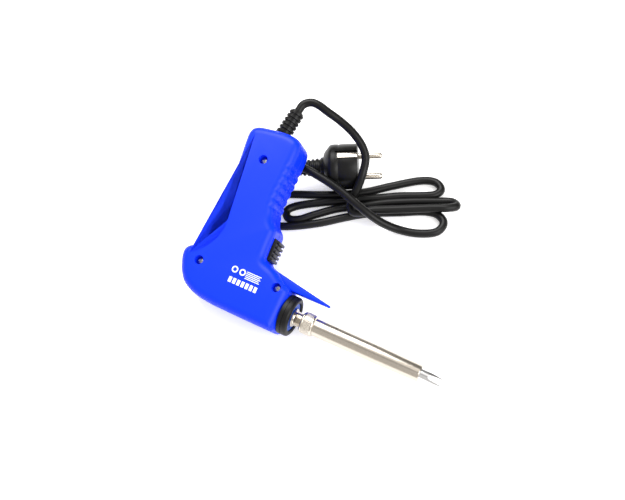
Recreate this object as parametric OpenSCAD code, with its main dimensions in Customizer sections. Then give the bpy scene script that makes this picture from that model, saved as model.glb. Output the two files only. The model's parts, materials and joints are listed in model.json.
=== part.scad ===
// Pistol-grip soldering iron with a boost trigger, a mains lead and a moulded plug, in millimetres.
// Local gun axes: X forwards along the barrel, Y towards the end of the handle, Z through the thickness.
// The placed part lies on its right side, tilted about X so that the handle end is raised.

/* [Pose] */
// Tilt of the gun about the barrel axis, in degrees
tilt = 16; // [10:1:26]
// Offset that centres the part along X
centre_x = -16.85; // [-40:0.05:40]
// Offset that centres the part along Y
centre_y = -61.45; // [-90:0.05:0]

/* [Housing] */
// Half of the housing's thickness
half_t = 16; // [14:0.5:18]
// Wall thickness of the moulded shell
wall = 2.6; // [2:0.1:3.2]
// Radius of a screw recess
recess_r = 3.5; // [3:0.1:4]

/* [Barrel] */
// Radius of the heat collar ring
collar_r = 15; // [14:0.1:16]
// Radius of the threaded nipple
thread_r = 5.5; // [5:0.1:6]
// Radius of the knurled nut
nut_r = 8.15; // [7:0.05:9]
// Radius of the sleeve's straight part
sleeve_r = 6.6; // [6:0.1:7]
// Radius of the tip
tip_r = 4.3; // [3.5:0.1:5]
// How far the sleeve reaches along X
sleeve_end = 107; // [95:1:115]
// How far the tip reaches along X
tip_end = 123.5; // [115:0.5:135]

/* [Trigger] */
// Travel of the trigger
trigger_travel = 4; // [3:0.5:4]

/* [Lead] */
// Diameter of the mains cord
cord_d = 6.5; // [5.5:0.1:7.5]
// Radius of the plug body
plug_r = 18; // [16:0.5:19]
// Radius of a plug pin
pin_r = 2.4; // [2.35:0.05:2.45]
// Length of a plug pin
pin_len = 19; // [18:0.5:19]
// Distance between the two plug pins
pin_gap = 19; // [18:0.5:20]

/* [Hidden] */
$fn = 48;
lift = 9.9 * sin(tilt) + half_t * cos(tilt);
blue = [0.0, 0.16, 0.85];
black = [0.04, 0.04, 0.04];
nickel = [0.62, 0.60, 0.56];
screw_xy = [[-60.7, 97.5], [-73, 10], [-9.6, 13.9]];
// The side outline, from the top of the nose along the spine and round the handle.
outline = [[0, -16.5], [-30, -16.5], [-50, -16.2], [-62, -15.2], [-71, -13], [-79, -9], [-84.5, -2],
           [-88.6, 7], [-89.8, 13], [-88, 17.2], [-82, 20], [-75.8, 27.5], [-72.2, 36], [-71.8, 42],
           [-73.8, 53], [-76.2, 65], [-79.5, 88], [-82.5, 113], [-81.5, 118], [-77.5, 120.8],
           [-69, 122.2], [-58, 123.4], [-49, 123.5], [-42.5, 122], [-39, 118.5], [-38.3, 112],
           [-38, 92], [-38.6, 75], [-36.8, 61], [-34.5, 57], [-30.2, 54], [-28.4, 51], [-29, 48.6],
           [-28, 28.8], [-16, 25.2], [-7, 19.5], [0, 16.5]];
// Steps that stand for the rounded edge: inset, then height.
steps = [[0, 9], [0.8, 11.4], [1.9, 13.2], [3.4, 14.6], [5, 15.5], [6.6, 16]];
relief_p = [-62, 118.2];
relief_a = 8.6;
relief_out = [-57.9, 145.1];
// The lead's route from the strain relief to the plug, before centring.
lead = [[-58, 139.5, 58.1], [-56.6, 146, 59.9], [-51.5, 150, 60.5], [-45, 150.5, 59.5],
        [-37, 149.5, 56.5], [-27, 149, 51.5], [-15.3, 146.5, 46], [-5.3, 142, 39.5], [0.5, 135.5, 34],
        [2.5, 125, 28.5], [2, 115.5, 20.5], [0, 107, 13.5], [4, 100.8, 11], [11, 102.5, 11],
        [18, 108, 10.8], [28, 113.5, 10.2], [44, 121.5, 10], [60, 129.5, 10], [70, 134, 10],
        [75.5, 139.5, 8], [70, 143.5, 4.6], [60, 140, 3.6], [40, 131, 3.5], [21, 121, 3.5],
        [5, 110.5, 3.5], [-10, 101.5, 3.5], [-24, 89, 3.5], [-33, 80.5, 3.5], [-41, 78, 3.5],
        [-45.5, 83.5, 3.5], [-40, 91, 3.5], [-24, 101.5, 3.5], [-8, 110.5, 3.5], [4, 117.6, 3.5],
        [17, 124.5, 3.5], [31, 132.5, 3.5], [46, 139.5, 3.5], [55.5, 145, 3.5], [57.5, 151.5, 3.5],
        [50, 155.5, 3.5], [38, 151, 3.5], [20, 137.5, 3.5], [6, 126, 3.5], [-9, 116.6, 3.5],
        [-28, 107.5, 3.5], [-52, 97.5, 3.5], [-64, 91, 3.5], [-68, 80.5, 3.5], [-61, 71.5, 3.5],
        [-49, 68.5, 3.5], [-38, 71.5, 3.5], [-18, 83.5, 3.5], [-2, 96, 3.5], [9, 104.2, 3.5],
        [20, 110.8, 3.5], [37, 119, 3.5], [53, 127, 3.5], [64, 129, 3.5], [71.5, 124, 3.5],
        [69.5, 114.5, 3.5], [57, 107.5, 3.5], [43, 104, 4.6], [31, 101.6, 9.5], [20, 101, 16],
        [8, 103, 20.5], [-8, 107.5, 23.5], [-26, 110.5, 26.5], [-46, 112, 28.4], [-58, 110, 28.2],
        [-69, 105, 26.5], [-76, 101.5, 22], [-76, 101.8, 16.5], [-69, 105.5, 14.6],
        [-60, 110.4, 16.6], [-54, 113.3, 18]];
plug_f = [-7, 136.2, 18];
plug_a = 26;

function cr(a, b, c, d, t) =
    0.5 * (2 * b + (c - a) * t + (2 * a - 5 * b + 4 * c - d) * t * t + (3 * b - a - 3 * c + d) * t * t * t);
function at(p, i) = i < 0 ? 2 * p[0] - p[1] : i >= len(p) ? 2 * p[len(p) - 1] - p[len(p) - 2] : p[i];
function unit(v) = v / norm(v);
function dir(p, i) = unit(at(p, i + 1) - at(p, i - 1));
function side(v, s) = unit(s - (s * v) * v);
function turn(p, i) = i == 0 ? side(dir(p, 0), [0.3, 0.1, 1]) : side(dir(p, i), turn(p, i - 1));

// A tube through the points p, with n sides.
module tube(p, r, n) {
    k = len(p);
    pts = [for (i = [0 : k - 1])
               let (d = dir(p, i), s = turn(p, i), c = cross(d, s))
               for (j = [0 : n - 1]) p[i] + r * (cos(360 * j / n) * s + sin(360 * j / n) * c)];
    sides = [for (i = [0 : k - 2]) for (j = [0 : n - 1])
                 let (m = (j + 1) % n)
                 each [[i * n + j, i * n + m, (i + 1) * n + j], [i * n + m, (i + 1) * n + m, (i + 1) * n + j]]];
    ends = [[for (j = [n - 1 : -1 : 0]) j], [for (j = [0 : n - 1]) (k - 1) * n + j]];
    polyhedron(points = pts, faces = [for (f = concat(sides, ends)) [for (q = [len(f) - 1 : -1 : 0]) f[q]]]);
}

module world() {
    translate([centre_x, centre_y, 0]) children();
}

module gun() {
    world() translate([0, 0, lift]) rotate([tilt, 0, 0]) children();
}

module rod(x0, x1, r, y = 0, z = 0) {
    translate([x0, y, z]) rotate([0, 90, 0]) cylinder(h = x1 - x0, r = r);
}

module taper(x0, x1, r0, r1) {
    translate([x0, 0, 0]) rotate([0, 90, 0]) cylinder(h = x1 - x0, r1 = r0, r2 = r1);
}

module box(lo, hi) {
    translate(lo) cube(hi - lo);
}

module slab(inset, z0, z1) {
    translate([0, 0, z0]) linear_extrude(z1 - z0) offset(delta = -inset) polygon(outline);
}

// The upper half of the closed shell, with no cut for the collar or the screws.
module half_shell() {
    difference() {
        union() {
            for (i = [0 : len(steps) - 1])
                slab(steps[i][0], i == 0 ? 0 : steps[i - 1][1] - 0.5, steps[i][1]);
            tongue();
        }
        slab(wall, -1, 11.6);
        slab(wall + 2.6, 11, half_t - wall);
    }
}

// The pointed tongue under the collar, half of its width.
module tongue() {
    intersection() {
        linear_extrude(12) polygon([[-17.5, 17], [-17.5, 25.4], [29, 18], [29, 16.2], [0, 16.2]]);
        translate([0, 30, 0]) rotate([90, 0, 0]) linear_extrude(20)
            polygon([[-18, 0], [-18, 9.5], [0, 8.2], [26, 5], [28, 4], [29, 2], [29, 0]]);
    }
}

module half_housing(left) {
    difference() {
        union() {
            half_shell();
            for (s = screw_xy) translate([s[0], s[1], 0]) cylinder(h = half_t - 2.2, r = 4.6);
        }
        rod(-10, 1, 12);
        box([-40, 29.8, -1], [-20, 47.4, 8.1]);
        translate([relief_p[0], relief_p[1], 0]) rotate([0, 0, -relief_a]) rotate([-90, 0, 0])
            cylinder(h = 9, r = 5.2);
        for (s = screw_xy) translate([s[0], s[1], 0]) {
            translate([0, 0, -1]) cylinder(h = left ? 12 : 9, r = 1.5);
            if (left) translate([0, 0, 9.5]) cylinder(h = 8, r = recess_r);
        }
    }
}

module left_housing() {
    color(blue) gun() half_housing(true);
}

module right_housing() {
    color(blue) gun() mirror([0, 0, 1]) half_housing(false);
}

module housing_screws() {
    color(nickel) gun() for (s = screw_xy) translate([s[0], s[1], 0]) difference() {
        union() {
            translate([0, 0, -8]) cylinder(h = 18, r = 1.5);
            translate([0, 0, 9.5]) cylinder(h = 2.2, r = 2.9);
        }
        translate([-0.4, -1.7, 10.8]) cube([0.8, 3.4, 2]);
        translate([-1.7, -0.4, 10.8]) cube([3.4, 0.8, 2]);
    }
}

module front_collar() {
    color(black) gun() difference() {
        union() {
            rod(0, 6.2, collar_r);
            taper(6.2, 8, collar_r, collar_r - 1.6);
            rod(-5.5, 0, 12);
            rod(-5.5, -3, 13);
        }
        rod(-6, 9, 11);
    }
}

module front_insert() {
    color(blue) gun() difference() {
        rod(-5.5, 6.6, 11);
        rod(-6, 7, thread_r);
    }
}

module nipple() {
    color(nickel) gun() difference() {
        union() {
            rod(-10.5, 20, thread_r);
            rod(6.6, 8.2, 7);
        }
        rod(-11, 21, 3.7);
    }
}

module lock_nut() {
    color(nickel) gun() difference() {
        translate([-9, 0, 0]) rotate([0, 90, 0]) cylinder(h = 3.5, r = 8, $fn = 6);
        rod(-10, -5, thread_r);
    }
}

module sleeve_nut() {
    color(nickel) gun() difference() {
        union() {
            taper(14.5, 15.5, nut_r - 1, nut_r);
            rod(15.5, 23.5, nut_r);
            taper(23.5, 24.5, nut_r, nut_r - 1);
        }
        rod(14, 25, thread_r + 0.06);
        rod(20.6, 25, sleeve_r - 0.3);
    }
}

module sleeve() {
    color(nickel) gun() difference() {
        union() {
            rod(20.6, 24.5, sleeve_r - 0.3);
            rod(24.5, 70, sleeve_r);
            taper(70, sleeve_end, sleeve_r, sleeve_r - 0.5);
        }
        rod(20, sleeve_end - 3, sleeve_r - 1.1);
        rod(sleeve_end - 4, sleeve_end + 1, tip_r + 0.05);
    }
}

module tip() {
    color([0.75, 0.75, 0.76]) gun() difference() {
        union() {
            rod(62, 113, tip_r);
            rod(sleeve_end - 7, sleeve_end - 3.3, tip_r + 0.9);
            hull() {
                rod(112.9, 113, tip_r);
                box([tip_end - 0.2, -0.5, -2.1], [tip_end, 0.5, 2.1]);
            }
        }
        rod(61, 101, 2.95);
    }
}

module heater_core() {
    color([0.85, 0.82, 0.76]) gun() rod(-17, 96, 2.6);
}

module heater_insulator() {
    color([0.93, 0.91, 0.86]) gun() difference() {
        union() {
            rod(-13, 19, 3.7);
            rod(-13, -10.5, 6);
        }
        rod(-14, 20, 2.6);
    }
}

module heater_leads() {
    color([0.8, 0.1, 0.08]) gun() {
        tube([[-17, 0, 1.2], [-24, 3, 2], [-33, 9, 4], [-44, 16, 6], [-56, 19, 6], [-66, 23, 5],
              [-67.3, 31, 4.5]], 0.8, 8);
        tube([[-17, 0, -1.2], [-24, -3, -2], [-34, 4, -5], [-46, 14, -7], [-47.5, 30, -10.8],
              [-47.6, 45, -10.8], [-53, 60, -8], [-55, 71, -4]], 0.8, 8);
    }
}

module earth_lead() {
    color([0.35, 0.6, 0.15]) gun()
        tube([[-9.9, 6.6, -1.5], [-15, 9, -5], [-26, 14, -9], [-38, 22, -11], [-43, 34, -11.4],
              [-43.5, 50, -10.6], [-48, 62, -6], [-51, 71, -3]], 0.8, 8);
}

module trigger() {
    color(black) gun() {
        box([-42, 30.2, -7.7], [-26, 47, 7.7]);
        box([-34, 28.4, -9.2], [-32, 48.8, 9.2]);
        for (i = [0 : 4]) box([-26, 30.6 + 3.4 * i, -7.3], [-24.2, 32.6 + 3.4 * i, 7.3]);
    }
}

module trigger_spring() {
    color(nickel) gun() translate([-49.9, 38.5, 0])
        tube([for (i = [0 : 48]) [0.4 + 7.1 * i / 48, 3.2 * cos(30 * i), 3.2 * sin(30 * i)]], 0.38, 6);
}

module switch_plunger() {
    color([0.75, 0.74, 0.7]) gun() rod(-57, -42, 1.6, 38.5);
}

module switch_body() {
    color(black) gun() difference() {
        box([-65.5, 29.5, -9], [-50.2, 47.5, 9]);
        rod(-63, -50, 1.66, 38.5);
    }
}

module switch_terminals() {
    color([0.72, 0.55, 0.25]) gun() for (p = [[32, 4.5], [38.5, -4.5], [45, 4.5]])
        box([-67.7, p[0] - 1.2, p[1] - 0.4], [-65.5, p[0] + 1.2, p[1] + 0.4]);
}

module boost_diode() {
    color(black) gun() {
        rod(-64, -58, 1.6, 53, 5);
        tube([[-58, 53, 5], [-54, 53, 5], [-52, 57, 5], [-52, 71, 4]], 0.4, 6);
        tube([[-64, 53, 5], [-66.6, 51.6, 5], [-66.9, 46.2, 4.9]], 0.4, 6);
    }
}

module connector_block() {
    color([0.88, 0.88, 0.85]) gun() box([-70, 71, -5.5], [-48, 85, 5.5]);
}

module connector_screws() {
    color([0.72, 0.55, 0.25]) gun() for (x = [-66, -59, -52]) for (y = [74.5, 81.5])
        translate([x, y, 5.5]) difference() {
            cylinder(h = 1.4, r = 1.7);
            translate([-2, -0.3, 0.8]) cube([4, 0.6, 1]);
        }
}

module cord_sheath_end() {
    color(black) gun() tube([[-62.41, 115.5, 0], [-62.8, 113, 0], [-64.5, 107, 0], [-67.5, 101.5, 0]],
                            cord_d / 2, 12);
}

module cord_clamp() {
    color([0.85, 0.85, 0.8]) gun() difference() {
        box([-74, 106.5, 2.2], [-54, 112, 6.6]);
        translate([-64, 113, 0]) rotate([90, 0, 0]) cylinder(h = 8, r = 4);
    }
}

module clamp_screws() {
    color(nickel) gun() for (x = [-72, -56]) translate([x, 109.3, 6.6]) cylinder(h = 1.6, r = 1.6);
}

module cord_cores() {
    color([0.45, 0.25, 0.12]) gun() {
        tube([[-68.5, 99.9, 1.2], [-70.6, 95, 2], [-69, 89, 1.8], [-66, 85, 1]], 0.9, 8);
        tube([[-67.4, 100.8, -1.3], [-67, 95.5, -4], [-62, 90, -4], [-59, 85, -1]], 0.9, 8);
        tube([[-66.3, 101.4, 1.3], [-66.2, 93.5, 5.5], [-57, 90.5, 4.8], [-52, 85, 1]], 0.9, 8);
    }
}

module strain_relief() {
    color(black) gun() translate([relief_p[0], relief_p[1], 0]) rotate([0, 0, -relief_a])
        rotate([-90, 0, 0]) {
            translate([0, 0, -2.7]) cylinder(h = 3, r = 7.5);
            cylinder(h = 8, r = 5.2);
            translate([0, 0, 6]) cylinder(h = 21.2, r1 = 6.3, r2 = 5.7);
        }
}

module cord() {
    color(black) world() tube(lead, cord_d / 2, 8);
}

// The plug's own axes: X out of the face along the pins, Y across, Z up.
module at_plug() {
    world() translate(plug_f) rotate([0, 0, plug_a]) children();
}

module plug_body() {
    color(black) at_plug() difference() {
        union() {
            rod(-22, 0, plug_r);
            taper(-27, -22, 12, plug_r);
            taper(-52, -27, 5.2, 8.5);
        }
        for (s = [-1, 1]) translate([-17, 0, s * (plug_r - 0.5)]) cube([36, 7, 3.6], center = true);
    }
}

module plug_pins() {
    color(nickel) at_plug() for (s = [-1, 1]) {
        rod(0, pin_len - 1.2, pin_r, s * pin_gap / 2);
        translate([pin_len - 1.2, s * pin_gap / 2, 0]) rotate([0, 90, 0])
            cylinder(h = 1.2, r1 = pin_r, r2 = pin_r - 0.8);
    }
}

module plug_earth_clips() {
    color(nickel) at_plug() for (s = [-1, 1])
        translate([-8, 0, s * (plug_r - 1.6)]) cube([16, 5, 1.2], center = true);
}

left_housing();
right_housing();
housing_screws();
front_collar();
front_insert();
nipple();
lock_nut();
sleeve_nut();
sleeve();
tip();
heater_core();
heater_insulator();
heater_leads();
earth_lead();
trigger();
trigger_spring();
switch_body();
switch_plunger();
switch_terminals();
boost_diode();
connector_block();
connector_screws();
cord_clamp();
clamp_screws();
cord_cores();
cord_sheath_end();
strain_relief();
cord();
plug_body();
plug_pins();
plug_earth_clips();
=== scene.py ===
import json
import math

import bmesh
import bpy
import numpy as np
from mathutils import Matrix, Vector


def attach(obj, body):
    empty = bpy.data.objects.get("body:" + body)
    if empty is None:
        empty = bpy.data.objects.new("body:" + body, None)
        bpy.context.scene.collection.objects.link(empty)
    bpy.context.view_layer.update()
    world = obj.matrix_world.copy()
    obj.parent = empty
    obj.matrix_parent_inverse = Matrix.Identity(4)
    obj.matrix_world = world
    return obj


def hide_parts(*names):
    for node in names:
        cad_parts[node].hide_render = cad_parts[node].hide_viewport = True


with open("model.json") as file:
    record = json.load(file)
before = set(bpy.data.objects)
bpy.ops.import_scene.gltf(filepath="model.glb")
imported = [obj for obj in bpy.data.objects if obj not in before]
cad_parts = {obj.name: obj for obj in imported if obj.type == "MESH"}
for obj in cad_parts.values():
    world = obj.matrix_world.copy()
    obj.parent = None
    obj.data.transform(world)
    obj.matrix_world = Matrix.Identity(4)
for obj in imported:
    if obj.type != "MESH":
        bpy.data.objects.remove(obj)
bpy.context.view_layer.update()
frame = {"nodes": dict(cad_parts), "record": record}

# ---------------------------------------------------------------- frames
TILT = math.radians(16)
CENTRE = Vector((-16.85, -61.45, 0))
LIFT = 9.9 * math.sin(TILT) + 16 * math.cos(TILT)
MM = Matrix.Scale(0.001, 4)
GUN = MM @ Matrix.Translation(CENTRE + Vector((0, 0, LIFT))) @ Matrix.Rotation(TILT, 4, "X")
PLUG_FACE, PLUG_TURN = Vector((-7, 136.2, 18)), math.radians(26)
PLUG = MM @ Matrix.Translation(CENTRE + PLUG_FACE) @ Matrix.Rotation(PLUG_TURN, 4, "Z")

# ---------------------------------------------------------------- camera
az, el, roll = math.radians(38), math.radians(62), math.radians(12)
back = Vector((math.sin(az) * math.cos(el), -math.cos(az) * math.cos(el), math.sin(el)))
right = Vector((math.cos(az), math.sin(az), 0))
up = back.cross(right)
r2 = right * math.cos(roll) - up * math.sin(roll)
u2 = right * math.sin(roll) + up * math.cos(roll)
cam = bpy.data.objects.new("camera", bpy.data.cameras.new("camera"))
bpy.context.scene.collection.objects.link(cam)
eye = Vector((0.16279, -0.24417, 0.5849))
cam.matrix_world = Matrix((
    (r2.x, u2.x, back.x, eye.x), (r2.y, u2.y, back.y, eye.y), (r2.z, u2.z, back.z, eye.z), (0, 0, 0, 1)))
cam.data.lens = 48.96
cam.data.sensor_width = 36
cam.data.clip_start = 0.01
bpy.context.scene.camera = cam


# ---------------------------------------------------------------- materials
def material(name, color, rough=0.4, metal=0.0, coat=0.0, bump=0.0, scale=900.0, stretch=None, spec=0.5):
    m = bpy.data.materials.new(name)
    m.use_nodes = True
    nt = m.node_tree
    b = nt.nodes["Principled BSDF"]
    b.inputs["Base Color"].default_value = (*color, 1)
    b.inputs["Metallic"].default_value = metal
    b.inputs["Roughness"].default_value = rough
    b.inputs["Coat Weight"].default_value = coat
    b.inputs["Specular IOR Level"].default_value = spec
    if bump:
        co = nt.nodes.new("ShaderNodeTexCoord")
        mp = nt.nodes.new("ShaderNodeMapping")
        mp.inputs["Scale"].default_value = stretch or (1, 1, 1)
        n = nt.nodes.new("ShaderNodeTexNoise")
        n.inputs["Scale"].default_value = scale
        n.inputs["Detail"].default_value = 3
        bp = nt.nodes.new("ShaderNodeBump")
        bp.inputs["Strength"].default_value = bump
        bp.inputs["Distance"].default_value = 0.0002
        nt.links.new(co.outputs["Object"], mp.inputs["Vector"])
        nt.links.new(mp.outputs["Vector"], n.inputs["Vector"])
        nt.links.new(n.outputs["Fac"], bp.inputs["Height"])
        nt.links.new(bp.outputs["Normal"], b.inputs["Normal"])
    return m


BLUE = material("blue_abs", (0.0, 0.035, 0.93), rough=0.4, bump=0.06, scale=1500, spec=0.25)
BLUE_IN = material("blue_insert", (0.01, 0.07, 0.45), rough=0.45)
BLACK = material("black_resin", (0.005, 0.005, 0.0055), rough=0.42, bump=0.1, scale=1200, spec=0.25)
PVC = material("black_pvc", (0.004, 0.004, 0.004), rough=0.38, bump=0.05, scale=700, spec=0.25)
NICKEL = material("nickel", (0.62, 0.57, 0.50), rough=0.2, metal=1.0)
SLEEVE = material("nickel_sleeve", (0.60, 0.55, 0.48), rough=0.27, metal=1.0, bump=0.08, scale=300,
                  stretch=(0.15, 6, 6))
TIPM = material("tip_plating", (0.80, 0.80, 0.81), rough=0.22, metal=1.0)
STEEL = material("steel", (0.55, 0.55, 0.56), rough=0.3, metal=1.0)
CERAMIC = material("ceramic", (0.85, 0.82, 0.75), rough=0.6)
BRASS = material("brass", (0.70, 0.50, 0.20), rough=0.3, metal=1.0)
WHITE = material("white_resin", (0.82, 0.82, 0.79), rough=0.5)
PRINT = material("white_print", (0.85, 0.90, 0.95), rough=0.5)
RED = material("red_wire", (0.5, 0.03, 0.02), rough=0.45)
GREEN = material("green_wire", (0.25, 0.45, 0.05), rough=0.45)
BROWN = material("brown_wire", (0.2, 0.09, 0.04), rough=0.45)
INSIDE = {
    "blue_shell": BLUE, "blue_insert": BLUE_IN, "black_resin": BLACK, "nickel": NICKEL, "nickel_sleeve": SLEEVE,
    "tip_plating": TIPM, "steel": STEEL, "ceramic": CERAMIC, "brass": BRASS, "white_resin": WHITE,
    "black_pvc": PVC, "red_wire": RED, "green_wire": GREEN, "brown_wire": BROWN}
slot_of = {s["node"]: s["material_slot"] for s in frame["record"]["subparts"]}
for name, o in frame["nodes"].items():
    o.data.materials.clear()
    o.data.materials.append(INSIDE[slot_of[name]])


# ---------------------------------------------------------------- mesh helpers
def smooth(o, angle=40):
    for p in o.data.polygons:
        p.use_smooth = True
    o.data.set_sharp_from_angle(angle=math.radians(angle))
    return o


def make(name, verts, faces, mat, place=GUN, angle=40):
    me = bpy.data.meshes.new(name)
    me.from_pydata([tuple(place @ Vector(v)) for v in verts], [], [tuple(f) for f in faces])
    o = bpy.data.objects.new(name, me)
    bpy.context.scene.collection.objects.link(o)
    me.materials.append(mat)
    bm = bmesh.new()
    bm.from_mesh(me)
    bmesh.ops.remove_doubles(bm, verts=bm.verts, dist=1e-7)
    bmesh.ops.recalc_face_normals(bm, faces=bm.faces)
    bm.to_mesh(me)
    bm.free()
    return smooth(o, angle)


def stack(rings, cap0=True, cap1=True):
    """Verts and faces through rings that have the same number of points."""
    n = len(rings[0])
    verts = [tuple(p) for r in rings for p in r]
    faces = []
    for i in range(len(rings) - 1):
        for j in range(n):
            k = (j + 1) % n
            faces.append((i * n + j, i * n + k, (i + 1) * n + k, (i + 1) * n + j))
    if cap0:
        faces.append(tuple(range(n - 1, -1, -1)))
    if cap1:
        faces.append(tuple((len(rings) - 1) * n + j for j in range(n)))
    return verts, faces


def lathe(name, prof, mat, n=96, place=GUN, closed=False, wobble=None, angle=40):
    """Turns (x, r) points about X. closed joins the last point to the first."""
    rings = []
    for x, r in prof:
        ring = []
        for j in range(n):
            a = 2 * math.pi * j / n
            rr = r + (wobble(x, r, a) if wobble else 0)
            ring.append((x, rr * math.cos(a), rr * math.sin(a)))
        rings.append(ring)
    if closed:
        rings.append(rings[0])
        v, f = stack(rings, False, False)
    else:
        v, f = stack(rings)
    return make(name, v, f, mat, place, angle)


def catmull(points, steps):
    p = [Vector(q) for q in points]
    p = [2 * p[0] - p[1]] + p + [2 * p[-1] - p[-2]]
    out = []
    for i in range(1, len(p) - 2):
        for s in range(steps):
            t = s / steps
            a, b, c, d = p[i - 1:i + 3]
            out.append(0.5 * (2 * b + (c - a) * t + (2 * a - 5 * b + 4 * c - d) * t * t
                              + (3 * b - a - 3 * c + d) * t ** 3))
    out.append(p[-2])
    return out


def tube(name, points, radius, mat, sides=20, place=GUN, up0=(0.3, 0.1, 1)):
    p = [Vector(q) for q in points]
    rings, s = [], Vector(up0)
    for i, q in enumerate(p):
        d = (p[min(i + 1, len(p) - 1)] - p[max(i - 1, 0)]).normalized()
        s = (s - s.dot(d) * d).normalized()
        c = d.cross(s)
        r = radius(i / (len(p) - 1)) if callable(radius) else radius
        rings.append([q + r * (math.cos(2 * math.pi * j / sides) * s + math.sin(2 * math.pi * j / sides) * c)
                      for j in range(sides)])
    v, f = stack(rings)
    return make(name, v, f, mat, place, 60)


def block(name, lo, hi, mat, bevel=0.5, place=GUN, seg=3):
    v = [(x, y, z) for x in (lo[0], hi[0]) for y in (lo[1], hi[1]) for z in (lo[2], hi[2])]
    f = [(0, 1, 3, 2), (4, 6, 7, 5), (0, 4, 5, 1), (2, 3, 7, 6), (0, 2, 6, 4), (1, 5, 7, 3)]
    o = make(name, v, f, mat, place)
    if bevel:
        bm = bmesh.new()
        bm.from_mesh(o.data)
        bmesh.ops.bevel(bm, geom=bm.edges[:], offset=bevel * 0.001, segments=seg, affect="EDGES", profile=0.5)
        bm.to_mesh(o.data)
        bm.free()
        smooth(o, 50)
    return o


def join(name, objs):
    bpy.ops.object.select_all(action="DESELECT")
    for o in objs:
        o.select_set(True)
    bpy.context.view_layer.objects.active = objs[0]
    bpy.ops.object.join()
    objs[0].name = name
    return objs[0]


def cut(o, cutters):
    for c in cutters:
        m = o.modifiers.new("cut", "BOOLEAN")
        m.operation = "DIFFERENCE"
        m.solver = "EXACT"
        m.object = c
        bpy.context.view_layer.objects.active = o
        bpy.ops.object.modifier_apply(modifier=m.name)
        bpy.data.objects.remove(c)
    return smooth(o, 35)


def disc_z(name, x, y, z0, z1, r, mat, n=48, side=1):
    rings = [[(x + r * math.cos(2 * math.pi * j / n), y + r * math.sin(2 * math.pi * j / n), z * side)
              for j in range(n)] for z in (z0, z1)]
    v, f = stack(rings)
    return make(name, v, f, mat)


# ---------------------------------------------------------------- lead, first
LEAD = [
    (-58, 139.5, 58.1), (-56.6, 146, 59.9), (-51.5, 150, 60.5), (-45, 150.5, 59.5),
    (-37, 149.5, 56.5), (-27, 149, 51.5), (-15.3, 146.5, 46), (-5.3, 142, 39.5), (0.5, 135.5, 34),
    (2.5, 125, 28.5), (2, 115.5, 20.5), (0, 107, 13.5), (4, 100.8, 11), (11, 102.5, 11),
    (18, 108, 10.8), (28, 113.5, 10.2), (44, 121.5, 10), (60, 129.5, 10), (70, 134, 10),
    (75.5, 139.5, 8), (70, 143.5, 4.6), (60, 140, 3.6), (40, 131, 3.5), (21, 121, 3.5),
    (5, 110.5, 3.5), (-10, 101.5, 3.5), (-24, 89, 3.5), (-33, 80.5, 3.5), (-41, 78, 3.5),
    (-45.5, 83.5, 3.5), (-40, 91, 3.5), (-24, 101.5, 3.5), (-8, 110.5, 3.5), (4, 117.6, 3.5),
    (17, 124.5, 3.5), (31, 132.5, 3.5), (46, 139.5, 3.5), (55.5, 145, 3.5), (57.5, 151.5, 3.5),
    (50, 155.5, 3.5), (38, 151, 3.5), (20, 137.5, 3.5), (6, 126, 3.5), (-9, 116.6, 3.5),
    (-28, 107.5, 3.5), (-52, 97.5, 3.5), (-64, 91, 3.5), (-68, 80.5, 3.5), (-61, 71.5, 3.5),
    (-49, 68.5, 3.5), (-38, 71.5, 3.5), (-18, 83.5, 3.5), (-2, 96, 3.5), (9, 104.2, 3.5),
    (20, 110.8, 3.5), (37, 119, 3.5), (53, 127, 3.5), (64, 129, 3.5), (71.5, 124, 3.5),
    (69.5, 114.5, 3.5), (57, 107.5, 3.5), (43, 104, 4.6), (31, 101.6, 9.5), (20, 101, 16),
    (8, 103, 20.5), (-8, 107.5, 23.5), (-26, 110.5, 26.5), (-46, 112, 28.4), (-58, 110, 28.2),
    (-69, 105, 26.5), (-76, 101.5, 22), (-76, 101.8, 16.5), (-69, 105.5, 14.6),
    (-60, 110.4, 16.6), (-54, 113.3, 18)]
CORD_D = 6.5
ROW = MM @ Matrix.Translation(CENTRE)
lead = [Vector(p) for p in catmull(LEAD, 6)]
cord = tube("cord", lead, CORD_D / 2, PVC, 20, ROW)
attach(cord, "gun")
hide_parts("cord")

# ---------------------------------------------------------------- plug
BOOT_RIBS, BOOT_PITCH = 6, 3.4
body_prof = [
    (-27, 0.01), (-27, 10.5), (-26.4, 12), (-22.8, 16.6), (-21.5, 17.6), (-20, 18), (-16, 18), (-15.4, 17.6),
    (-14.8, 17.6), (-14.2, 18), (-1.2, 18), (-0.3, 17.5), (0, 16.8), (0, 0.01)]
plug = lathe("plug_body", body_prof, PVC, 96, PLUG)
cutters = [block("c", (-17.5, -3.6, s * 16.9 - 1.8 + s * 1.0), (1, 3.6, s * 16.9 + 1.8 + s * 1.0), PVC, 0, PLUG)
           for s in (-1, 1)]
cut(plug, cutters)
boot_prof = [(-52, 0.01), (-52, 4.6), (-51.6, 5.1)]
for i in range(BOOT_RIBS):
    x = -50.5 + BOOT_PITCH * i
    boot_prof += [(x, 5.2 + 0.35 * i), (x + 0.3, 5.5 + 0.35 * i), (x + 1.8, 5.6 + 0.35 * i),
                  (x + 2.1, 4.7 + 0.35 * i), (x + 3.1, 4.75 + 0.35 * i)]
boot_prof += [(-29.2, 7.9), (-27, 8.6), (-26, 9), (-26, 0.01)]
boot = lathe("plug_boot", boot_prof, PVC, 64, PLUG)
plug = join("plug_body_look", [plug, boot])
clips = join("plug_clips_look", [
    block("clip", (-15.9, -2.4, s * 16.4 - 0.6), (-0.1, 2.4, s * 16.4 + 0.6), NICKEL, 0.4, PLUG) for s in (-1, 1)])
pins = join("plug_pins_look", [
    lathe("pin", [(0, 0.01), (0, 2.4), (17.3, 2.4), (18.2, 2.15), (18.8, 1.5), (19, 0.6), (19, 0.01)], NICKEL, 40,
          PLUG @ Matrix.Translation((0, s * 9.5, 0))) for s in (-1, 1)])
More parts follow.
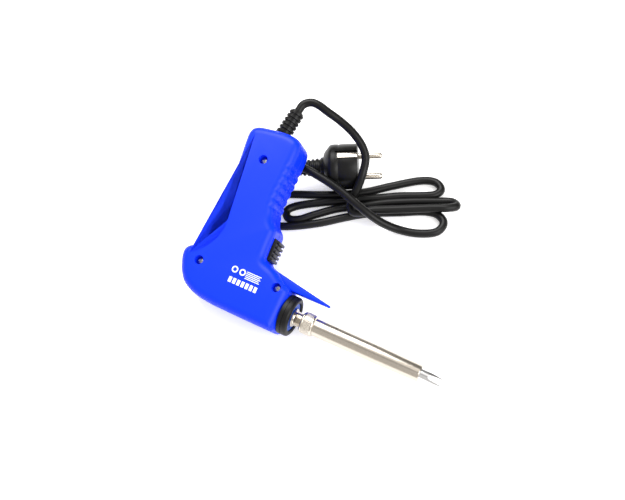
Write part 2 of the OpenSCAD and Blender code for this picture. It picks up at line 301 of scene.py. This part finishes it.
for o, nd, sl in ((plug, "plug_body", "black_pvc"), (clips, "plug_earth_clips", "nickel"),
                  (pins, "plug_pins", "nickel")):
    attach(o, "gun")
    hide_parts(nd)

# ---------------------------------------------------------------- housing
OUTLINE = [
    (0, -16.5), (-30, -16.5), (-50, -16.2), (-62, -15.2), (-71, -13), (-79, -9), (-84.5, -2),
    (-88.6, 7), (-89.8, 13), (-88, 17.2), (-82, 20), (-75.8, 27.5), (-72.2, 36), (-71.8, 42),
    (-73.8, 53), (-76.2, 65), (-79.5, 88), (-82.5, 113), (-81.5, 118), (-77.5, 120.8),
    (-69, 122.2), (-58, 123.4), (-49, 123.5), (-42.5, 122), (-39, 118.5), (-38.3, 112),
    (-38, 92), (-38.6, 75), (-36.8, 61), (-34.5, 57), (-30.2, 54), (-28.4, 51), (-29, 48.6),
    (-28, 28.8), (-16, 25.2), (-7, 19.5), (0, 16.5)]


OUTLINE_POINTS = 460
ROUNDING_PASSES = 14


def outline():
    """The side outline as closely spaced points: the polygon with its corners rounded by repeated averaging."""
    pts = np.array(OUTLINE + [(0, 8.0), (0, 0), (0, -8.0), OUTLINE[0]], float)
    ln = np.concatenate([[0], np.cumsum(np.linalg.norm(np.diff(pts, axis=0), axis=1))])
    want = np.linspace(0, ln[-1], OUTLINE_POINTS + 1)[:-1]
    c = np.stack([np.interp(want, ln, pts[:, 0]), np.interp(want, ln, pts[:, 1])], 1)
    for _ in range(ROUNDING_PASSES):
        c = 0.25 * np.roll(c, 1, 0) + 0.5 * c + 0.25 * np.roll(c, -1, 0)
    return c


def inset(pts, d):
    """pts moved inwards by d, with the places where it would fold over itself pulled straight."""
    if d <= 0:
        return pts.copy()
    t = np.roll(pts, -1, 0) - np.roll(pts, 1, 0)
    t /= np.linalg.norm(t, axis=1)[:, None]
    area = 0.5 * np.sum(pts[:, 0] * np.roll(pts[:, 1], -1) - np.roll(pts[:, 0], -1) * pts[:, 1])
    nrm = np.stack([-t[:, 1], t[:, 0]], 1) * (1 if area > 0 else -1)
    q = pts + nrm * d
    gap = np.linalg.norm(q[:, None, :] - pts[None, :, :], axis=2).min(1)
    ok = gap > d * 0.985 - 0.05
    i = np.arange(len(pts))
    good = i[ok]
    x = np.interp(i, good, q[good, 0], period=len(pts))
    y = np.interp(i, good, q[good, 1], period=len(pts))
    return np.stack([x, y], 1)


BASE = outline()
HALF_T, EDGE_R, WALL = 16.0, 6.6, 2.6
GROOVE_PITCH, GROOVE_DEPTH = 6.5, 1.0


def ribs(pts, w):
    """Finger grooves across the front of the handle."""
    out = pts.copy()
    for k, (x, y) in enumerate(pts):
        if x > -50 and 64 < y < 103:
            g = 0.5 - 0.5 * math.cos(2 * math.pi * (y - 64) / GROOVE_PITCH)
            out[k, 0] -= GROOVE_DEPTH * w * g ** 1.5
    return out


def shell(name, side):
    """One half of the housing: the inner ceiling and wall, then the outer wall and its rounded edge."""
    outer = [[(x, y, 0) for x, y in inset(BASE, 0.35)], [(x, y, side * 0.35) for x, y in ribs(BASE, 1)],
             [(x, y, side * 4.5) for x, y in ribs(BASE, 1)]]
    for k in range(0, 11):
        a = math.pi / 2 * k / 10
        ring = ribs(inset(BASE, EDGE_R * (1 - math.cos(a))), 1 - (k / 10) ** 2 * 0.8)
        outer.append([(x, y, side * (HALF_T - EDGE_R + EDGE_R * math.sin(a))) for x, y in ring])
    inner = [[(x, y, 0) for x, y in inset(BASE, WALL + 1)],
             [(x, y, side * 10.8) for x, y in inset(BASE, WALL + 1)],
             [(x, y, side * 13.2) for x, y in inset(BASE, WALL + 4.5)]]
    rings = inner[::-1] + outer
    v, f = stack(rings)
    return make(name, v, f, BLUE)


def tongue(name, side):
    """Half of the pointed tongue: sections along X, rounded at the edges."""
    rings = []
    for i in range(28):
        x = -17.5 + 46.5 * i / 27
        top = 25.6 - (25.6 - 18.0) * (x + 16.5) / 45.5
        low = 16.35 if x > -1 else 16.45
        w = 9.4 - 4.6 * max(0, x + 17.5) / 44
        e = max(0.0, (x - 24.5) / 4.5)
        w *= math.sqrt(max(0.02, 1 - e ** 2.2))
        h = (top - low) / 2
        mid = (top + low) / 2
        r = min(h * 0.95, 1.6)
        ring = []
        for cx, cy, a0 in ((w - r, h - r, 0), (-(w - r), h - r, 90), (-(w - r), -(h - r), 180), (w - r, -(h - r), 270)):
            for q in range(6):
                a = math.radians(a0 + 18 * q)
                ring.append((x, mid + cy + r * math.sin(a), cx + r * math.cos(a)))
        rings.append(ring)
    v, f = stack(rings)
    o = make(name, v, f, BLUE)
    bm = bmesh.new()
    bm.from_mesh(o.data)
    n = GUN.to_3x3() @ Vector((0, 0, 1))
    n.normalize()
    g = bmesh.ops.bisect_plane(
        bm, geom=bm.verts[:] + bm.edges[:] + bm.faces[:], plane_co=GUN @ Vector((0, 0, 0.03 * side)),
        plane_no=n, clear_inner=side > 0, clear_outer=side < 0)
    edges = [e for e in g["geom_cut"] if isinstance(e, bmesh.types.BMEdge)]
    bmesh.ops.edgeloop_fill(bm, edges=edges)
    bm.to_mesh(o.data)
    bm.free()
    return smooth(o, 40)


SCREWS = [(-60.7, 97.5), (-73, 10), (-9.6, 13.9)]
RELIEF_ANGLE = math.radians(8.6)
RELIEF = GUN @ Matrix.Translation((-62, 118.2, 0)) @ Matrix.Rotation(math.pi / 2 - RELIEF_ANGLE, 4, "Z")


def ring_tube(name, x, y, z0, z1, r0, r1, side):
    n = 40
    def circ(r, z):
        return [(x + r * math.cos(2 * math.pi * j / n), y + r * math.sin(2 * math.pi * j / n), side * z) for j in range(n)]
    rings = [circ(r0, z0), circ(r1, z0), circ(r1, z1), circ(r0, z1), circ(r0, z0)]
    v, f = stack(rings, False, False)
    return make(name, v, f, BLUE)


for side, node in ((1, "left_housing"), (-1, "right_housing")):
    o = shell(node + "_look", side)
    cutters = [lathe("c", [(-12, 0.01), (-12, 12.05), (1, 12.05), (1, 0.01)], BLUE, 64),
               block("c", (-40, 29.8, -8.1), (-20, 47.4, 8.1), BLUE, 0),
               lathe("c", [(0, 0.01), (0, 5.2), (10, 5.2), (10, 0.01)], BLUE, 40, RELIEF)]
    if side > 0:
        cutters += [disc_z("c", x, y, 8, 18, 3.5, BLUE) for x, y in SCREWS]
    cut(o, cutters)
    extra = [tongue("tongue", side)]
    for x, y in SCREWS:
        if side > 0:
            extra.append(ring_tube("boss", x, y, 9.5, 15.4, 3.5, 4.6, 1))
            extra.append(ring_tube("boss", x, y, 0.1, 9.5, 1.5, 4.6, 1))
        else:
            extra.append(ring_tube("boss", x, y, 0.1, 13.5, 1.5, 4.6, -1))
    o = join(node + "_look", [o] + extra)
    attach(o, "gun")
    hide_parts(node)

# ---------------------------------------------------------------- print, as plain bars
marks = []
for k in range(7):
    marks.append(block("bar", (-45.5 + 3.5 * k, 4.0, 15.95), (-43.1 + 3.5 * k, 8.2, 16.0), PRINT, 0))
for k in range(5):
    marks.append(block(
        "line", (-34.5, 10.6 + 1.25 * k, 15.95), (-22.5 - 0.9 * (k % 2), 11.2 + 1.25 * k, 16.0), PRINT, 0))
for k in range(2):
    n = 40
    rings = []
    for r, z in ((1.5, 15.95), (2.5, 15.95), (2.5, 16.0), (1.5, 16.0), (1.5, 15.95)):
        rings.append([(-44 + 6.4 * k + r * math.cos(2 * math.pi * j / n), 14.2 + r * math.sin(2 * math.pi * j / n), z)
                      for j in range(n)])
    v, f = stack(rings, False, False)
    marks.append(make("dot", v, f, PRINT))
marks = join("side_print", marks)
for vtx in marks.data.vertices:
    vtx.co += (GUN.to_3x3() @ Vector((0, 0, 1))).normalized() * 0.00004
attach(marks, "gun")

# ---------------------------------------------------------------- screws
heads = []
for x, y in SCREWS:
    prof = [(9.5, 0.01), (9.5, 2.9), (10.4, 2.9), (11.2, 2.5), (11.7, 1.6), (11.8, 0.01)]
    m = GUN @ Matrix.Translation((x, y, 0)) @ Matrix.Rotation(-math.pi / 2, 4, "Y")
    h = lathe("head", prof, STEEL, 40, m)
    c1 = block("c", (10.6, -0.38, -1.8), (13, 0.38, 1.8), STEEL, 0, m)
    c2 = block("c", (10.6, -1.8, -0.38), (13, 1.8, 0.38), STEEL, 0, m)
    cut(h, [c1, c2])
    heads += [h, lathe("shank", [(-8, 0.01), (-8, 1.45), (9.5, 1.45), (9.5, 0.01)], STEEL, 24, m)]
heads = join("housing_screws_look", heads)
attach(heads, "gun")
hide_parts("housing_screws")

# ---------------------------------------------------------------- front
collar = lathe("front_collar_look", [
    (-5.5, 11), (-5.5, 13), (-3, 13), (-3, 12), (0, 12), (0.02, 14.6), (0.4, 15), (3.0, 15), (3.2, 14.6), (3.6, 14.6),
    (3.8, 15), (6.0, 15), (6.9, 14.7), (7.6, 14.0), (8, 13.2), (8, 12.0), (7.8, 11.3), (7.4, 11)], BLACK, 120, closed=True)
insert = lathe("front_insert_look", [
    (-5.5, 5.5), (-5.5, 11), (6.2, 11), (6.6, 10.6), (6.6, 8.4), (6.2, 8.2), (6.2, 7.4), (6.6, 7.2), (6.6, 5.5)],
    BLUE_IN, 96, closed=True)
thread = [(-10.5, 3.7), (-10.5, 5.5), (6.6, 5.5), (6.6, 6.7), (6.9, 7), (7.9, 7), (8.2, 6.7), (8.2, 5.4), (8.7, 5.0)]
THREAD_PITCH = 1.02
x = 8.9
while x < 19.4:
    thread += [(x, 4.9), (x + 0.42, 5.5), (x + 0.58, 5.5), (x + 1.0, 4.9)]
    x += THREAD_PITCH
thread += [(20, 4.9), (20, 3.7)]
nipple = lathe("nipple_look", thread, NICKEL, 96, closed=True)


def knurl(x, r, a):
    if r < 7.9 or not 16.6 < x < 22.4:
        return 0
    return -0.42 * (1 - max(abs(math.sin(21 * a + 2.4 * x)), abs(math.sin(21 * a - 2.4 * x))) ** 0.8) - 0.02


prof = [(14.5, 5.56), (14.5, 7.1), (15.3, 8.0), (15.6, 8.12), (16.3, 8.12), (16.5, 7.9)]
prof += [(16.62 + 0.12 * k, 8.14) for k in range(48)]
prof += [(22.5, 7.9), (22.7, 8.12), (23.4, 8.12), (23.8, 7.9), (24.5, 7.2), (24.5, 6.31), (20.6, 6.31), (20.6, 5.56)]
nut = lathe("sleeve_nut_look", prof, NICKEL, 336, closed=True, wobble=knurl, angle=60)
sleeve = lathe("sleeve_look", [
    (20.6, 5.5), (20.6, 6.3), (24.5, 6.3), (24.5, 6.6), (70, 6.6), (106.4, 6.12), (106.8, 6.0), (107, 5.8), (107, 4.5),
    (106.8, 4.36), (104, 4.36), (104, 5.5)], SLEEVE, 120, closed=True)

# chisel tip: a round shank that flattens to an edge, as (x, half width, half thickness, squareness)
rings = []
for x, w, h, p in ((62, 4.3, 4.3, 2), (99.9, 4.3, 4.3, 2), (100, 5.2, 5.2, 2), (103.7, 5.2, 5.2, 2),
                   (103.75, 4.3, 4.3, 2), (112.4, 4.3, 4.3, 2), (114, 4.2, 3.8, 2.1), (116.5, 3.85, 2.8, 2.3), (119, 3.4, 1.85, 2.6),
                   (121.5, 2.95, 1.0, 3), (123, 2.65, 0.5, 3.4), (123.5, 2.4, 0.3, 3.4)):
    ring = []
    for j in range(64):
        a = 2 * math.pi * j / 64
        c, s = math.cos(a), math.sin(a)
        ring.append((x, w * math.copysign(abs(c) ** (2 / p), c), h * math.copysign(abs(s) ** (2 / p), s)))
    rings.append(ring)
v, f = stack(rings)
tip = make("tip_look", v, f, TIPM, angle=35)

# ---------------------------------------------------------------- trigger
parts = [block("t", (-42, 30.2, -7.7), (-26, 47, 7.7), BLACK, 0.7),
         block("t", (-34, 28.4, -9.2), (-32, 48.8, 9.2), BLACK, 0.3)]
parts += [block("t", (-26.6, 30.5 + 3.4 * i, -7.4), (-24.2, 32.7 + 3.4 * i, 7.4), BLACK, 0.55) for i in range(5)]
trigger = join("trigger_look", parts)

# ---------------------------------------------------------------- strain relief
prof = [
    (-2.7, 0.01), (-2.7, 7.5), (0.3, 7.5), (0.3, 5.2), (5.6, 5.2), (5.7, 6.1), (6.1, 6.4), (8.4, 6.4), (8.7, 6.1),
    (8.8, 5.0)]
x = 9.9
for i in range(5):
    r = 6.3 - 0.09 * i
    prof += [(x, 5.0), (x + 0.1, r - 0.3), (x + 0.4, r), (x + 2.0, r), (x + 2.3, r - 0.3), (x + 2.4, 5.0)]
    x += 3.45
prof += [(x - 0.4, 5.0), (27.2, 4.6), (27.2, 0.01)]
relief = lathe("strain_relief_look", prof, PVC, 64, RELIEF)

for o, nd, sl, body in ((collar, "front_collar", "black_resin", "gun"), (insert, "front_insert", "blue_insert", "gun"),
                        (nipple, "nipple", "nickel", "gun"), (nut, "sleeve_nut", "nickel", "barrel"),
                        (sleeve, "sleeve", "nickel_sleeve", "barrel"), (tip, "tip", "tip_plating", "tip"),
                        (trigger, "trigger", "black_resin", "trigger"), (relief, "strain_relief", "black_pvc", "gun")):
    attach(o, body)
    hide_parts(nd)

# ---------------------------------------------------------------- stage and light
floor = bpy.data.meshes.new("floor")
floor.from_pydata([(-3, -3, 0), (3, -3, 0), (3, 3, 0), (-3, 3, 0)], [], [(0, 1, 2, 3)])
floor = bpy.data.objects.new("floor", floor)
bpy.context.scene.collection.objects.link(floor)
fm = material("floor_white", (0.9, 0.9, 0.9), rough=0.9)
glow = fm.node_tree.nodes["Principled BSDF"]
glow.inputs["Emission Color"].default_value = (1, 1, 1, 1)
glow.inputs["Emission Strength"].default_value = 0.45
floor.data.materials.append(fm)
floor.location.z = -0.0002


def area(name, loc, size, power, target=(0, 0, 0.02)):
    d = bpy.data.lights.new(name, "AREA")
    d.shape = "RECTANGLE"
    d.size, d.size_y = size
    d.energy = power
    o = bpy.data.objects.new(name, d)
    bpy.context.scene.collection.objects.link(o)
    o.location = loc
    o.rotation_euler = (Vector(target) - Vector(loc)).to_track_quat("-Z", "Y").to_euler()
    return o


area("key", (-0.5, 0.6, 1.1), (0.9, 0.9), 17)
area("fill", (0.9, -0.2, 0.8), (0.8, 0.8), 10)
world = bpy.data.worlds.new("world")
bpy.context.scene.world = world
world.use_nodes = True
bg = world.node_tree.nodes["Background"]
bg.inputs["Strength"].default_value = 0.75
# brightness round the X axis, as (share of a half turn from +Y, value), so that the metal shows bands
wn = world.node_tree
co, sep = wn.nodes.new("ShaderNodeTexCoord"), wn.nodes.new("ShaderNodeSeparateXYZ")
ang, div = wn.nodes.new("ShaderNodeMath"), wn.nodes.new("ShaderNodeMath")
ang.operation, div.operation = "ARCTAN2", "DIVIDE"
div.inputs[1].default_value = math.pi
band = wn.nodes.new("ShaderNodeValToRGB")
stops = ((0.0, 0.25), (0.28, 0.25), (0.36, 1.5), (0.52, 1.5), (0.56, 0.45), (0.61, 0.45), (0.66, 0.95), (1.0, 0.95))
while len(band.color_ramp.elements) < len(stops):
    band.color_ramp.elements.new(0.5)
for e, (pos, v) in zip(band.color_ramp.elements, stops):
    e.position, e.color = pos, (v, v * 0.97, v * 0.93, 1)
wn.links.new(co.outputs["Generated"], sep.inputs["Vector"])
wn.links.new(sep.outputs["Z"], ang.inputs[0])
wn.links.new(sep.outputs["Y"], ang.inputs[1])
wn.links.new(ang.outputs[0], div.inputs[0])
wn.links.new(div.outputs[0], band.inputs["Fac"])
wn.links.new(band.outputs["Color"], bg.inputs["Color"])
bpy.context.scene.view_settings.view_transform = "Standard"
bpy.context.scene.view_settings.look = "None"
